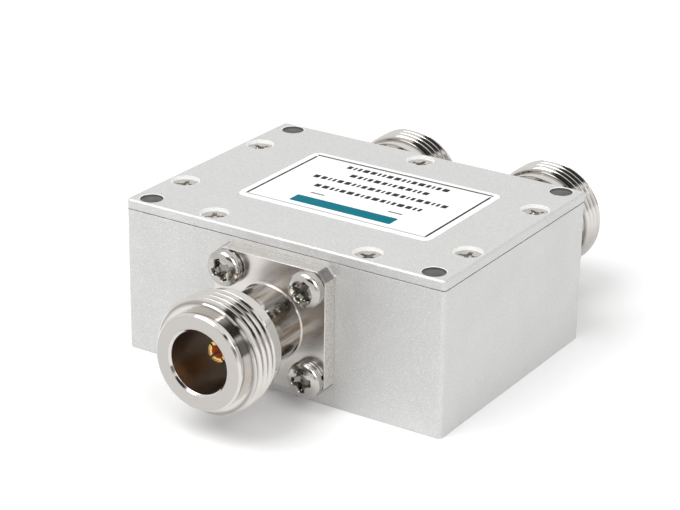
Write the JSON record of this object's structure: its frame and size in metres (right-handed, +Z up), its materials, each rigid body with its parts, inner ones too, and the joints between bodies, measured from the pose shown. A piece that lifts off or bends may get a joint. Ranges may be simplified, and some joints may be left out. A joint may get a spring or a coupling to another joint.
{
  "type": "rf power splitter",
  "caption": "Two-way RF power splitter: milled aluminium box with a screwed cover, one threaded coaxial jack at the front and a pair at the rear.",
  "frame": {"origin": "centre of the housing's flat base", "axes": "+Z up, out of the cover; +X to the right seen from the input jack; +Y to the rear, along the axes of the output jacks"},
  "size_m": [0.05, 0.074, 0.0221],
  "materials": {
    "blasted_alloy": "bead-blasted, clear, matt",
    "jack_nickel": "polished nickel plate on brass",
    "contact_gold": "gold plate",
    "dielectric_white": "natural white fluoropolymer",
    "screw_polished": "polished steel",
    "screw_nickel": "nickel-plated steel, satin",
    "label_film": "smooth white film",
    "board_laminate": "glass-filled laminate",
    "track_copper": "gold-flashed copper",
    "chip_ceramic": "dark glazed chip"
  },
  "bodies": {
    "root": {"board_screws": "screw_nickel", "circuit_board": "board_laminate", "cover_plate": "blasted_alloy", "cover_screws": "screw_nickel", "flange_screws": "screw_polished", "housing": "blasted_alloy", "input_centre_contact": "contact_gold", "input_insulator": "dielectric_white", "input_jack_shell": "jack_nickel", "isolation_resistor_1": "chip_ceramic", "isolation_resistor_2": "chip_ceramic", "isolation_resistor_3": "chip_ceramic", "label": "label_film", "microstrip_tracks": "track_copper", "output_1_centre_contact": "contact_gold", "output_1_insulator": "dielectric_white", "output_1_jack_shell": "jack_nickel", "output_2_centre_contact": "contact_gold", "output_2_insulator": "dielectric_white", "output_2_jack_shell": "jack_nickel", "spring_washers": "screw_polished"}
  },
  "joints": []
}
